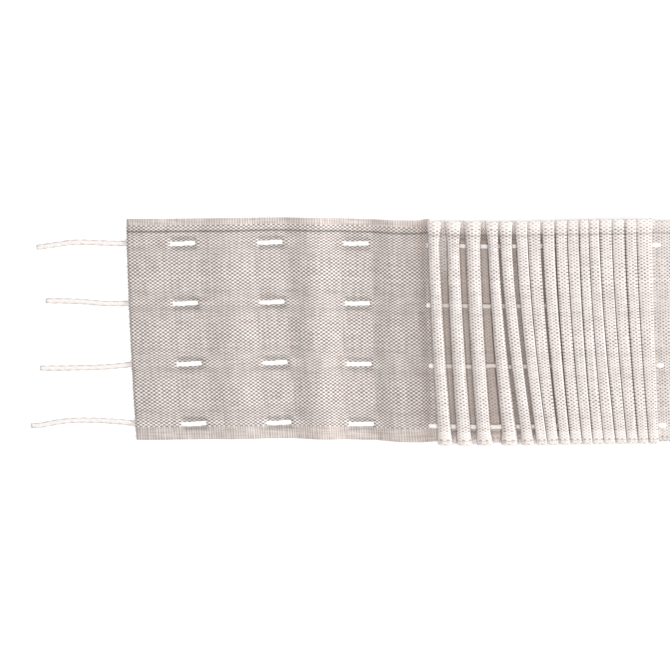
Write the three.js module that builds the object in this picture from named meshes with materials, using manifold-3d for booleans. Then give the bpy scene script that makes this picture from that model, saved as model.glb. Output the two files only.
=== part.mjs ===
// A length of woven curtain heading tape, partly drawn up into pencil pleats on its four draw cords.
// Millimetres, +Z up. The tape lies on z = 0, its length along X and its header edge towards +Y.
// The origin is on that surface, under the middle of the tape.
import * as THREE from "three";
import { mergeVertices } from "three/addons/utils/BufferGeometryUtils.js";
import Module from "manifold-3d";

const { clamp, lerp } = THREE.MathUtils;

// The tape. A line across it is given by its X at the header edge and at the foot edge.
const TAPE_WIDTH = 85;
const CLOTH = 1;
const LEFT_END = { head: -123.3, foot: -119.6 };
const RIGHT_END = { head: 123.3, foot: 123.3 };
const SLANT_POWER = 1.5; // above 1, so that a slanting line bends further over towards the foot edge
const SPARE = 0.3; // the gap that a cord keeps to the cloth, and to its own next length

// The draw cords, slightly flattened. y is where each runs across the tape.
const CORD_WIDTH = 1.8;
const CORD_HEIGHT = 1.3;
const CORDS = [
  { name: "draw_cord_1", y: 33 },
  { name: "draw_cord_2", y: 10 },
  { name: "draw_cord_3", y: -13.3 },
  { name: "draw_cord_4", y: -36.4 },
];

// Each cord runs under the cloth and comes up on its face as a float, over and over.
const UNDER_LENGTH = 23;
const FLOAT_LENGTH = 10;
// One row per float of the flat parts: where it starts, and how far the cloth before it swells up.
const LEFT_FLOATS = [
  { head: -107, foot: -102.1, swell: 0.5 },
  { head: -73.6, foot: -69.6, swell: 1.2 },
  { head: -40.5, foot: -38.2, swell: 2 },
];
const RIGHT_FLOAT = { head: 101.5, foot: 101.5 };

// The pleats. One row per valley: its middle line, and how wide it stands open at each edge. In the first
// row the climbing cloth comes down to the first pleat, and in the last one the last pleat meets the tail.
const VALLEYS = [
  { head: -8.5, foot: -4.9, openHead: 0.8, openFoot: 2.2 },
  { head: -2.3, foot: 2.4, openHead: 3, openFoot: 2 },
  { head: 5.1, foot: 10, openHead: 2.5, openFoot: 2.2 },
  { head: 13.3, foot: 18.7, openHead: 2.6, openFoot: 4.6 },
  { head: 19, foot: 27.5, openHead: 0.9, openFoot: 1.8 },
  { head: 24.7, foot: 33.3, openHead: 1.8, openFoot: 1.1 },
  { head: 30, foot: 37.9, openHead: 0.8, openFoot: 0.8 },
  { head: 35.2, foot: 42.4, openHead: 1.2, openFoot: 0.9 },
  { head: 40.5, foot: 46.7, openHead: 1, openFoot: 0.9 },
  { head: 45.1, foot: 51.2, openHead: 1, openFoot: 0.8 },
  { head: 49.7, foot: 55.2, openHead: 1.5, openFoot: 0.8 },
  { head: 53.4, foot: 59.4, openHead: 0.9, openFoot: 0.8 },
  { head: 57.4, foot: 64, openHead: 0.9, openFoot: 0.9 },
  { head: 62.2, foot: 68.3, openHead: 0.9, openFoot: 0.8 },
  { head: 67.2, foot: 72.6, openHead: 0.9, openFoot: 0.9 },
  { head: 71.6, foot: 76.6, openHead: 1.2, openFoot: 0.9 },
  { head: 77.8, foot: 80.7, openHead: 0.5, openFoot: 0.5 },
];
const CORD_LEVEL = 4.4; // height of the cords through the pleats
const ENTRY_LEVEL = 2.6; // and where they come out of the cloth before the first pleat
const VALLEY_HALF = 0.95; // least half width of a valley's cloth at the bottom
const VALLEY_CORNER = 0.8; // how high its corner starts to turn
const CORNER_RUN = 0.6;
const ARC_STEPS = 6;

// Beyond the outermost cords nothing holds the pleats, so they spread and close their gaps.
const SPREAD_HEAD = 0.35;
const SPREAD_FOOT = 0.6;
const LEAST_OPEN = 0.35;

// The flat parts sit this far towards the header edge, and the first pleats as far towards the foot.
const DRIFT = 0.4;
const DRIFT_CENTRE = 12;
const DRIFT_REACH = 38;

// The cloth swells up from the flat and comes down again to the first pleat, and falls from the last pleat
// to the flat. Each row is a share of the way and the height of the cloth's middle there.
const CLIMB = [
  { share: 0.2, z: 3.1 },
  { share: 0.42, z: 5.2 },
  { share: 0.6, z: 5.3 },
  { share: 0.8, z: 4.7 },
  { share: 0.92, z: 3.2 },
  { share: 1, z: 1.3 },
];
const FALL_BEND = [
  { on: 0, z: 5.6 },
  { on: 0.8, z: 4.8 },
  { on: 2.4, z: 5.9 },
];
const FALL = [
  { share: 0.35, z: 5.6 },
  { share: 0.6, z: 4.2 },
  { share: 0.8, z: 3 },
];

// The loose ends beyond the left cut, from the cloth outwards, one list of x and y per cord.
const LOOSE_ENDS = [
  [[-122.5, 33], [-128, 33.1], [-134, 33.3], [-140, 33.6], [-144.5, 33.5], [-149, 32.8], [-157.8, 31.5]],
  [[-121.7, 10], [-128, 9.9], [-134, 10.1], [-141, 10.8], [-148, 11], [-154.3, 11]],
  [[-120.6, -13.3], [-125, -13.9], [-131, -14.4], [-137.5, -14.7], [-149, -14.9], [-156.6, -14.9]],
  [[-119.3, -36.4], [-124, -35.7], [-133.5, -35], [-141.5, -34.9], [-147.5, -35.3], [-153, -36.2],
    [-157.2, -37.1], [-160.1, -36.9]],
];
const LOOSE_STEP = 4; // about two cord widths
const SPLICE = 1; // how far inside the cut the held cord meets its loose end

// Derived sizes
const HALF_WIDTH = TAPE_WIDTH / 2;
const MID_CLOTH = CLOTH / 2;
const CORD_RADIUS = CORD_HEIGHT / 2;
const UNDER_Z = CORD_RADIUS;
const FLOAT_Z = CLOTH + SPARE + CORD_RADIUS + 0.05;
const RIB_HEIGHT = CORD_HEIGHT + SPARE + 0.1; // how far the cloth rises over a cord
const RIB_CREST = 1.5; // half its width along the top
const RIB_HALF = 3.4;
const RIB_FALL = 2; // length over which the rib drops to a float
const CORD_RISE = 4; // length over which the cord comes up through the cloth
const CORD_SIDES = 8;
const PASSAGE_SIDES = 4;
const SHORTEST_EDGE = 0.005; // the cuts leave no finer slivers than this
const QUARTERS = [0.25, 0.5, 0.75];

// Widths across the tape at which its lines have points: many where the ribs are, few on the pleats.
const RIB_ASIDES = [-RIB_HALF, -RIB_CREST, RIB_CREST, RIB_HALF];
const RIB_STATIONS = CORDS.flatMap(({ y }) => RIB_ASIDES.map((aside) => y + aside));
const FLAT_STATIONS = [-HALF_WIDTH, ...RIB_STATIONS.sort((a, b) => a - b), HALF_WIDTH];
const HELD_HEAD = CORDS[0].y + CORD_WIDTH;
const HELD_FOOT = CORDS[3].y - CORD_WIDTH;
const PLEAT_STATIONS = [-HALF_WIDTH, HELD_FOOT, (HELD_HEAD + HELD_FOOT) / 2, HELD_HEAD, HALF_WIDTH];

// Share of the way from the header edge to the foot edge.
const downTape = (y) => clamp((HALF_WIDTH - y) / TAPE_WIDTH, 0, 1);

const across = (line, y) => lerp(line.head, line.foot, downTape(y) ** SLANT_POWER);

const drift = (x) => DRIFT * (1 - 2 * Math.exp(-(((x - DRIFT_CENTRE) / DRIFT_REACH) ** 2)));

function openWidth(valley, y) {
  const open = lerp(valley.openHead, valley.openFoot, downTape(y));
  const pastHead = clamp((y - HELD_HEAD) / (HALF_WIDTH - HELD_HEAD), 0, 1);
  const pastFoot = clamp((HELD_FOOT - y) / (HELD_FOOT + HALF_WIDTH), 0, 1);
  const kept = lerp(1, SPREAD_HEAD, pastHead) * lerp(1, SPREAD_FOOT, pastFoot);
  return Math.max(open * kept, LEAST_OPEN);
}

// How far the cloth is lifted at width y by a cord under it.
function ribLift(y) {
  const aside = Math.min(...CORDS.map((cord) => Math.abs(y - cord.y)));
  return RIB_HEIGHT * clamp((RIB_HALF - aside) / (RIB_HALF - RIB_CREST), 0, 1);
}

// The middle of the cloth along the tape at width y, from left to right, as points of x and z.
// flat marks the points that belong to the ribbed, unpleated parts.
function clothPath(y) {
  const path = [];
  const rib = ribLift(y);
  const lay = (x, lift, ribbed) => {
    const lifted = Math.max(lift, ribbed ? rib : 0);
    path.push({ x, z: MID_CLOTH + lifted, flat: true });
  };
  const fold = (x, z) => path.push({ x, z, flat: false });

  const layFloat = (start) => {
    lay(start - RIB_FALL / 2, 0, true);
    lay(start + RIB_FALL / 2, 0, false);
    lay(start + FLOAT_LENGTH - RIB_FALL / 2, 0, false);
    lay(start + FLOAT_LENGTH + RIB_FALL / 2, 0, true);
  };

  let from = across(LEFT_END, y);
  lay(from, 0, true);
  for (const float of LEFT_FLOATS) {
    const start = across(float, y);
    for (const share of QUARTERS) {
      lay(lerp(from, start, share), float.swell * Math.sin(Math.PI * share), true);
    }
    layFloat(start);
    from = start + FLOAT_LENGTH;
  }

  const bottomHalf = (valley) => Math.max(VALLEY_HALF, openWidth(valley, y) / 2 + MID_CLOTH);
  const climbEnd = across(VALLEYS[0], y) - bottomHalf(VALLEYS[0]);
  for (const { share, z } of CLIMB) {
    lay(lerp(from, climbEnd, share), z - MID_CLOTH, true);
  }

  VALLEYS.slice(0, -1).forEach((valley, index) => {
    const middle = across(valley, y);
    const half = bottomHalf(valley);
    if (index > 0) fold(middle - half, MID_CLOTH + VALLEY_CORNER);
    fold(middle - half + CORNER_RUN, MID_CLOTH);
    fold(middle + half - CORNER_RUN, MID_CLOTH);
    fold(middle + half, MID_CLOTH + VALLEY_CORNER);
    const next = VALLEYS[index + 1];
    const left = middle + openWidth(valley, y) / 2 + MID_CLOTH;
    const right = across(next, y) - openWidth(next, y) / 2 - MID_CLOTH;
    const radius = (right - left) / 2;
    const shoulder = CORD_LEVEL + (UNDER_LENGTH - Math.PI * radius) / 2;
    for (let step = 0; step <= ARC_STEPS; step += 1) {
      const angle = (Math.PI * step) / ARC_STEPS;
      fold((left + right) / 2 - radius * Math.cos(angle), shoulder + radius * Math.sin(angle));
    }
  });

  const fallStart = path.at(-1).x;
  for (const { on, z } of FALL_BEND) {
    fold(fallStart + on, z);
  }
  const rightStart = across(RIGHT_FLOAT, y);
  for (const { share, z } of FALL) {
    lay(lerp(fallStart + FALL_BEND.at(-1).on, rightStart, share), z - MID_CLOTH, true);
  }
  layFloat(rightStart);
  lay(across(RIGHT_END, y), 0, true);
  return path;
}

// The direction square to a path of x and z at one of its points, scaled so that a sheet or tube
// offset along it keeps its thickness round a bend.
function squareTo(path, index) {
  const at = (i) => new THREE.Vector2(path[i].x, path[i].z);
  const ahead = index < path.length - 1 ? at(index + 1).sub(at(index)).normalize() : null;
  const behind = index > 0 ? at(index).sub(at(index - 1)).normalize() : ahead;
  const onward = ahead ?? behind;
  const along = behind.clone().add(onward).normalize();
  return new THREE.Vector2(-along.y, along.x).divideScalar(along.dot(behind));
}

// Triangles between two rows of points that both run towards +Y. The rows may differ in number.
function stitch(left, right, addTriangle) {
  let a = 0;
  let b = 0;
  while (a < left.length - 1 || b < right.length - 1) {
    const rightDone = b === right.length - 1;
    const stepLeft = rightDone || (a < left.length - 1 && left[a + 1].station <= right[b + 1].station);
    if (stepLeft) {
      addTriangle(left[a], right[b], left[a + 1]);
      a += 1;
    } else {
      addTriangle(left[a], right[b], right[b + 1]);
      b += 1;
    }
  }
}

function geometryOf(triangles) {
  const numbers = triangles.flatMap((corner) => [corner.x, corner.y, corner.z]);
  return new THREE.BufferGeometry().setAttribute("position", new THREE.Float32BufferAttribute(numbers, 3));
}

// The whole tape as one closed sheet: a face side, a back side and the four edges.
function tapeSheet() {
  const stations = [...new Set([...FLAT_STATIONS, ...PLEAT_STATIONS])];
  const paths = new Map(stations.map((y) => [y, clothPath(y)]));
  const lines = clothPath(0).map(({ flat }, index) => {
    const sides = { face: [], back: [] };
    for (const y of flat ? FLAT_STATIONS : PLEAT_STATIONS) {
      const path = paths.get(y);
      const { x, z } = path[index];
      const out = squareTo(path, index).multiplyScalar(MID_CLOTH);
      for (const [side, sign] of [["face", 1], ["back", -1]]) {
        const corner = new THREE.Vector3(x + sign * out.x, y + drift(x), z + sign * out.y);
        sides[side].push(Object.assign(corner, { station: y }));
      }
    }
    return sides;
  });

  const triangles = [];
  const add = (a, b, c) => triangles.push(a, b, c);
  const addTurned = (a, b, c) => triangles.push(c, b, a);
  for (let i = 0; i < lines.length - 1; i += 1) {
    const [here, next] = [lines[i], lines[i + 1]];
    stitch(here.face, next.face, add);
    stitch(here.back, next.back, addTurned);
    const [footA, footB] = [here.face[0], next.face[0]];
    add(here.back[0], next.back[0], footB);
    add(here.back[0], footB, footA);
    const [headA, headB] = [here.face.at(-1), next.face.at(-1)];
    add(here.back.at(-1), headB, next.back.at(-1));
    add(here.back.at(-1), headA, headB);
  }
  stitch(lines[0].back, lines[0].face, add);
  stitch(lines.at(-1).face, lines.at(-1).back, add);
  return geometryOf(triangles);
}

// The route of one cord through the tape, as points of x and z.
function heldRoute(y) {
  const route = [{ x: across(LEFT_END, y) + SPLICE, z: UNDER_Z }];
  const ride = (start) => {
    route.push({ x: start - CORD_RISE / 2, z: UNDER_Z });
    route.push({ x: start + CORD_RISE / 2, z: FLOAT_Z });
    route.push({ x: start + FLOAT_LENGTH - CORD_RISE / 2, z: FLOAT_Z });
    route.push({ x: start + FLOAT_LENGTH + CORD_RISE / 2, z: UNDER_Z });
  };
  LEFT_FLOATS.forEach((float) => ride(across(float, y)));
  const entry = across(VALLEYS[0], y) - VALLEY_HALF;
  const exit = across(VALLEYS.at(-1), y) + VALLEY_HALF;
  route.push({ x: entry - CORD_RISE, z: ENTRY_LEVEL - CORD_RADIUS });
  route.push({ x: entry, z: ENTRY_LEVEL });
  for (const share of QUARTERS) {
    route.push({ x: lerp(entry, exit, share), z: CORD_LEVEL });
  }
  route.push({ x: exit, z: CORD_LEVEL });
  route.push({ x: exit + CORD_RISE, z: CORD_LEVEL - CORD_RADIUS });
  ride(across(RIGHT_FLOAT, y));
  route.push({ x: across(RIGHT_END, y) - SPARE, z: UNDER_Z });
  return route;
}

// The corners of a flattened section, with a flat side below and above.
function sectionCorners(height, width, sides) {
  const reach = 1 / Math.cos(Math.PI / sides) / 2;
  return Array.from({ length: sides }, (_, corner) => {
    const angle = ((corner + 0.5) * 2 * Math.PI) / sides;
    return new THREE.Vector2(height * reach * Math.cos(angle), width * reach * Math.sin(angle));
  });
}

// A closed tube along the route of the cord at width y, thicker all round by spare.
function heldTube(y, spare, sides) {
  const route = heldRoute(y);
  const corners = sectionCorners(CORD_HEIGHT + 2 * spare, CORD_WIDTH + 2 * spare, sides);
  const rings = route.map(({ x, z }, index) => {
    const up = squareTo(route, index);
    return corners.map((c) => new THREE.Vector3(x + up.x * c.x, y + drift(x) + c.y, z + up.y * c.x));
  });
  const triangles = [];
  for (let i = 0; i < rings.length - 1; i += 1) {
    for (let k = 0; k < sides; k += 1) {
      const turn = (k + 1) % sides;
      triangles.push(rings[i][k], rings[i + 1][k], rings[i + 1][turn]);
      triangles.push(rings[i][k], rings[i + 1][turn], rings[i][turn]);
    }
  }
  for (let k = 1; k < sides - 1; k += 1) {
    triangles.push(rings[0][0], rings[0][k], rings[0][k + 1]);
    triangles.push(rings.at(-1)[0], rings.at(-1)[k + 1], rings.at(-1)[k]);
  }
  return geometryOf(triangles);
}

// A loose end that lies on the surface beyond the left cut.
function looseTube(points) {
  const curve = new THREE.CatmullRomCurve3(points.map(([x, y]) => new THREE.Vector3(x, y + DRIFT, UNDER_Z)));
  const section = new THREE.Shape(sectionCorners(CORD_HEIGHT, CORD_WIDTH, CORD_SIDES));
  const steps = Math.round(curve.getLength() / LOOSE_STEP);
  return new THREE.ExtrudeGeometry(section, { steps, extrudePath: curve });
}

const wasm = await Module();
wasm.setup();

function solidOf(geometry) {
  const merged = mergeVertices(geometry, 1e-4);
  const vertProperties = merged.attributes.position.array;
  const triVerts = new Uint32Array(merged.index.array);
  return new wasm.Manifold(new wasm.Mesh({ numProp: 3, vertProperties, triVerts }));
}

function geometryOfSolid(solid) {
  const { vertProperties, triVerts } = solid.getMesh();
  const geometry = new THREE.BufferGeometry()
    .setAttribute("position", new THREE.BufferAttribute(vertProperties, 3))
    .setIndex(new THREE.BufferAttribute(triVerts, 1));
  geometry.computeVertexNormals();
  return geometry;
}

const clothMaterial = new THREE.MeshStandardMaterial({ color: "#dcd3cd", roughness: 0.95, metalness: 0 });
const cordMaterial = new THREE.MeshStandardMaterial({ color: "#f3f1ee", roughness: 0.9, metalness: 0 });

const tapeGroup = new THREE.Group();
function addPiece(name, geometry, material) {
  const mesh = new THREE.Mesh(geometry, material);
  mesh.name = name;
  tapeGroup.add(mesh);
}

// The tape, with a passage for each cord wherever it comes through the cloth.
const threaded = CORDS.reduce(
  (cloth, { y }) => cloth.subtract(solidOf(heldTube(y, SPARE, PASSAGE_SIDES))),
  solidOf(tapeSheet()),
).simplify(SHORTEST_EDGE);
addPiece("tape", geometryOfSolid(threaded), clothMaterial);

CORDS.forEach(({ name, y }, index) => {
  addPiece(name, heldTube(y, 0, CORD_SIDES), cordMaterial);
  addPiece(`${name}_end`, looseTube(LOOSE_ENDS[index]), cordMaterial);
});

export default tapeGroup;
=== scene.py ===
# A length of woven curtain heading tape, partly drawn up into pencil pleats on its four draw cords.
# Named lengths are millimetres, as in the part's own source, and MM turns them into Blender's metres.
import math
from collections import namedtuple

import bpy
import numpy as np
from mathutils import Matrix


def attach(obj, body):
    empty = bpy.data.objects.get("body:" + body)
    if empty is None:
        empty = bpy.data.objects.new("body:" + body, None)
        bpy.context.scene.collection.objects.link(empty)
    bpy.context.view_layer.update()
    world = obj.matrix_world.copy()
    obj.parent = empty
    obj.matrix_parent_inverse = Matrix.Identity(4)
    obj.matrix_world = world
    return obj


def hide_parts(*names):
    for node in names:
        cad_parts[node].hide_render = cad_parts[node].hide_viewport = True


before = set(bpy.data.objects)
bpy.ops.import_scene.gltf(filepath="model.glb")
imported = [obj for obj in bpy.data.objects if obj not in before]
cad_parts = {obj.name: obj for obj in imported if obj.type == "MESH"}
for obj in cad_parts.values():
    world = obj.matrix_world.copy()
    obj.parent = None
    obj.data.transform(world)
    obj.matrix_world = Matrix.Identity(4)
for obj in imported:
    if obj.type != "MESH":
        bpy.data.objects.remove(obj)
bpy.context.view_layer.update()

MM = 0.001

# The tape. A line across it is given by its x at the header edge and at the foot edge.
Line = namedtuple("Line", "head foot")
TAPE_WIDTH = 85
HALF_WIDTH = TAPE_WIDTH / 2
CLOTH = 0.9  # its thickness
MID_CLOTH = 0.5  # height of its middle where it lies flat
LEFT_END = Line(-123.3, -119.6)
RIGHT_END = Line(123.3, 123.3)
SLANT_POWER = 1.5  # above 1, so that a line across the tape slants more towards the foot edge

# The draw cords, slightly flattened, and the y at which each runs.
CORD_WIDTH = 1.8
CORD_HEIGHT = 1.3
CORD_Y = {"draw_cord_1": 33, "draw_cord_2": 10, "draw_cord_3": -13.3, "draw_cord_4": -36.4}
UNDER_LENGTH = 23
FLOAT_LENGTH = 10

# Floats of the flat parts, and how far the cloth before each swells up.
Float = namedtuple("Float", "head foot swell")
LEFT_FLOATS = [Float(-107, -102.1, 0.6), Float(-73.6, -69.6, 1.5), Float(-40.5, -38.2, 3.2)]
RIGHT_FLOAT = Float(101.5, 101.5, 0)

# Pleats, a row per valley: its middle line, how wide it stands open at each edge, how far the foot of the
# pleat to its right spreads under it at the foot edge, and how far its floor is lifted at the header edge.
Valley = namedtuple("Valley", "head foot open_head open_foot lean lift")
VALLEYS = [
    Valley(-8.5, -4.9, 0.8, 2.2, 0, 0),
    Valley(-2.3, 2.4, 3, 2, 0, 8),
    Valley(5.1, 10, 2.5, 2.2, 0, 0),
    Valley(13.3, 18.7, 2.6, 4.4, 0.6, 0),
    Valley(19, 27.5, 0.6, 1.5, 0, 0),
    Valley(24.7, 33.3, 1.7, 1.1, 0, 0),
    Valley(30, 37.9, 0.1, 0.1, 0, 0),
    Valley(35.2, 42.4, 0.8, 0.5, 0, 0),
    Valley(40.5, 46.7, 0.4, 0.25, 0, 0),
    Valley(45.1, 51.2, 0.1, 0.08, 0, 0),
    Valley(49.7, 55.2, 0.1, 0.08, 0, 0),
    Valley(53.4, 59.4, 0.08, 0.08, 0, 0),
    Valley(57.4, 64, 0.1, 0.1, 0, 0),
    Valley(62.2, 68.3, 0.1, 0.08, 0, 0),
    Valley(67.2, 72.6, 0.1, 0.08, 0, 0),
    Valley(71.6, 76.6, 0.1, 0.08, 0, 0),
    Valley(77.8, 80.7, 0.5, 0.5, 0, 0),
]
CORD_LEVEL = 4.4
# The height at which each cord comes out before the first pleat; the first cord stays under the cloth there.
ENTRY_LEVELS = {"draw_cord_1": 0.65, "draw_cord_2": 1.5, "draw_cord_3": 1.5, "draw_cord_4": 2.6}
LIFT_FROM = 10  # a lifted floor starts to rise at this y
# A pleat's top, round where it stands free and pressed flatter where its neighbours crowd it. The power is
# 2 for an ellipse and more for a flatter top, and the height is a share of half the pleat's width.
Crown = namedtuple("Crown", "power height")
FREE_CROWN = Crown(2.35, 0.78)
CROWDED_CROWN = Crown(4, 0.36)
CROWDED_BELOW = 1.6  # a pleat is free where the valleys beside it stand this far open
SWELL_SKEW = 1.12  # above 1, so that the cloth swells highest just past the middle between two floats
SWELL_POWER = 1.15  # nearly 1, so that it rises and falls right beside them
VALLEY_HALF = 0.95  # from a narrow valley's middle to the cloth's own middle beside it
VALLEY_RADIUS = 0.6
LEAST_FLOOR = 0.1  # flat cloth left between a valley's two rounded corners
LEAN_RISE = 3.5  # a spread foot reaches this far up its pleat
SPREAD_HEAD, SPREAD_FOOT = 0.3, 0.6  # share of its opening that a valley keeps at the very edges
LEAST_OPEN = 0.06

# The flat parts sit this far towards the header edge, and the first pleats as far towards the foot.
DRIFT = 0.4
DRIFT_CENTRE = 12
DRIFT_REACH = 38

# Between its left end and the pleats the flat length also bows a little towards the header edge.
BOW = 0.6
BOW_CENTRE = -62
BOW_REACH = 30

# The pleats' header edge stands out between these places along the tape, more so from the middle on.
FLARE, FLARE_MORE = 0.6, 0.35
FLARE_FROM, FLARE_MIDDLE, FLARE_TO = -12, 28, 76
FLARE_RUN = 4
FLARE_MORE_RUN = 28

# Height of the middle of the cloth from the last left float up to the first valley, and from the last
# valley down to the right float, by share of the way.
Rise = namedtuple("Rise", "share z")
CLIMB = [
    Rise(0, 0.5),
    Rise(0.2, 3.1),
    Rise(0.42, 5.2),
    Rise(0.6, 5.3),
    Rise(0.8, 4.7),
    Rise(0.92, 3.2),
    Rise(1, 1.3),
]
FALL = [Rise(0, 4.8), Rise(0.12, 5.9), Rise(0.35, 5.6), Rise(0.6, 4.2), Rise(0.8, 3), Rise(1, 0.5)]
TAIL_RADIUS = 0.8  # of the bend where the last pleat's wall turns into the fall

# Loose ends beyond the left cut, from the cloth outwards.
LOOSE_ENDS = {
    "draw_cord_1": [(-122.5, 33), (-128, 33.1), (-134, 33.3), (-140, 33.6), (-144.5, 33.5), (-149, 32.8),
                    (-157.8, 31.5)],
    "draw_cord_2": [(-121.7, 10), (-128, 9.9), (-134, 10.1), (-141, 10.8), (-148, 11), (-154.3, 11)],
    "draw_cord_3": [(-120.6, -13.3), (-125, -13.9), (-131, -14.4), (-137.5, -14.7), (-149, -14.9),
                    (-156.6, -14.9)],
    "draw_cord_4": [(-119.3, -36.4), (-124, -35.7), (-133.5, -35), (-141.5, -34.9), (-147.5, -35.3),
                    (-153, -36.2), (-157.2, -37.1), (-160.1, -36.9)],
}
SPLICE = 1  # how far inside the cut a held cord meets its loose end

# Heights of a cord's middle under the cloth and on a float, and the rib that the cloth forms over it.
UNDER_Z = CORD_HEIGHT / 2
FLOAT_Z = 1.75
CORD_RISE = 4  # a cord comes up onto a float within this length
RIB_HEIGHT = 1.35
RIB_HALF = 3.2
RIB_TOP = 0.4  # half of the width over which it keeps its full height
RIB_FALL = 2  # it comes down beside a float within this length

# The outer cords hold the cloth between these widths.
HELD_HEAD = CORD_Y["draw_cord_1"] + CORD_WIDTH
HELD_FOOT = CORD_Y["draw_cord_4"] - CORD_WIDTH

# The camera looks nearly straight down, leaning back from the header edge.
PICTURE_WIDTH = 256.9
VIEW_X, VIEW_Y = -43.5, -1.8
LEAN = math.radians(5)
LENS = 600
SENSOR = 36


def make_camera():
    data = bpy.data.cameras.new("camera")
    data.lens = LENS
    data.sensor_width = SENSOR
    camera = bpy.data.objects.new("camera", data)
    distance = PICTURE_WIDTH * LENS / SENSOR
    back, up = distance * math.sin(LEAN), distance * math.cos(LEAN)
    camera.location = (VIEW_X * MM, (VIEW_Y + back) * MM, up * MM)
    camera.rotation_euler = (-LEAN, 0, 0)
    bpy.context.collection.objects.link(camera)
    bpy.context.scene.camera = camera


def lerp(a, b, share):
    return a + (b - a) * share


def clamp(value):
    return min(max(value, 0.0), 1.0)


def smooth(share):
    share = clamp(share)
    return share * share * (3 - 2 * share)


def down_tape(y):
    """Share of the way from the header edge to the foot edge."""
    return clamp((HALF_WIDTH - y) / TAPE_WIDTH)


def across(line, y):
    return lerp(line.head, line.foot, down_tape(y) ** SLANT_POWER)


def drift(x):
    bow = BOW * math.exp(-(((x - BOW_CENTRE) / BOW_REACH) ** 2))
    return bow + DRIFT * (1 - 2 * math.exp(-(((x - DRIFT_CENTRE) / DRIFT_REACH) ** 2)))


def flare(x, y):
    """How far the pleats' free header edge stands out past the flat part's."""
    pleated = smooth((x - FLARE_FROM) / FLARE_RUN) * (1 - smooth((x - FLARE_TO) / FLARE_RUN))
    return past_head(y) * pleated * (FLARE + FLARE_MORE * smooth((x - FLARE_MIDDLE) / FLARE_MORE_RUN))


def past_head(y):
    return clamp((y - HELD_HEAD) / (HALF_WIDTH - HELD_HEAD))


def past_foot(y):
    return clamp((HELD_FOOT - y) / (HELD_FOOT + HALF_WIDTH))


def open_width(valley, y):
    open_here = lerp(valley.open_head, valley.open_foot, down_tape(y))
    kept = lerp(1, SPREAD_HEAD, past_head(y)) * lerp(1, SPREAD_FOOT, past_foot(y))
    return max(open_here * kept, LEAST_OPEN)


def rib_lift(y):
    """How far a cord under the cloth lifts it at width y."""
    aside = min(abs(y - cord) for cord in CORD_Y.values())
    return RIB_HEIGHT * smooth((RIB_HALF - aside) / (RIB_HALF - RIB_TOP))


def lengths_along(points):
    """How far along a route each of its points lies."""
    return np.concatenate([[0], np.cumsum(np.linalg.norm(np.diff(points, axis=0), axis=1))])


def tube_faces(rings, sides, first=0, turn=1):
    """Faces of a closed tube whose corners lie ring after ring, from the corner numbered first on. A turn
    of -1 has them look the other way."""
    faces = []
    for ring in range(rings - 1):
        low = first + ring * sides
        for k in range(sides):
            after = (k + 1) % sides
            faces.append((low + k, low + after, low + sides + after, low + sides + k)[::turn])
    last = first + (rings - 1) * sides
    faces.append(tuple(range(first, first + sides))[::-turn])
    faces.append(tuple(range(last, last + sides))[::turn])
    return faces


def add_piece(name, corners, faces, material):
    """A smooth mesh in the scene, from corners in metres."""
    mesh = bpy.data.meshes.new(name)
    mesh.from_pydata(corners, [], faces)
    mesh.shade_smooth()
    mesh.materials.append(material)
    piece = bpy.data.objects.new(name, mesh)
    bpy.context.collection.objects.link(piece)
    return piece


# The cords come first, as meshes of twisted strands.
STRANDS = 3
GROOVE_DEPTH = 0.18  # between two strands, as a share of the cord's half width
TWIST_PITCH = 11
CORD_SIDES = 24
CORD_STEP = 0.7
ROUNDING = 6  # how many times a route is smoothed, which rounds its turns
BLUNT_END = 0.8  # share of its width that a cord keeps at its very ends
HELD_FULLNESS, LOOSE_FULLNESS = 1.05, 1.16  # the strands bulge this much past the cord's plain width
CORD_MAP = "cord"  # the UV map that holds millimetres along a cord, and height on its section
FLOAT_INSET = 0.95  # the cloth grips a float this far inside its slot
FLOAT_TILT = 0.13  # a float's left end lies this much nearer the foot edge than its middle
LEVEL_SHARE = 0.25  # a cord has come up to its level this share of the way through the pleats
PEEP_CORDS = ("draw_cord_1", "draw_cord_3", "draw_cord_4")  # these show for a moment beside the last pleat
PEEP_LEVEL, PEEP_LENGTH = 6.9, 1.2
PEEP_RISE, PEEP_INSIDE = 1.5, 0.2  # they start to rise and are up this far before the last valley's end
SLACK_X, SLACK_REACH, SLACK_RISE = 16.5, 2.2, 0.5  # the third cord bows a little in the widest gap
RIGHT_INSET = 0.3  # how far inside the right cut the cords end


def resampled(points, step):
    """The same route with a point every step or so, rounded where it turns."""
    points = np.array(points, float)
    along = lengths_along(points)
    count = max(int(round(along[-1] / step)), 2)
    fine = np.linspace(0, along[-1], count + 1)
    route = np.stack([np.interp(fine, along, points[:, k]) for k in range(3)], axis=1)
    for _ in range(ROUNDING):
        route[1:-1] = (route[:-2] + 2 * route[1:-1] + route[2:]) / 4
    return route


def over_float(start):
    """A cord's way up onto a float and down again, as points of x and z."""
    rise, fall = start + FLOAT_INSET, start + FLOAT_LENGTH - FLOAT_INSET
    return [
        (rise - CORD_RISE / 2, UNDER_Z),
        (rise + CORD_RISE / 2, FLOAT_Z),
        (fall - CORD_RISE / 2, FLOAT_Z),
        (fall + CORD_RISE / 2, UNDER_Z),
    ]


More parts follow.
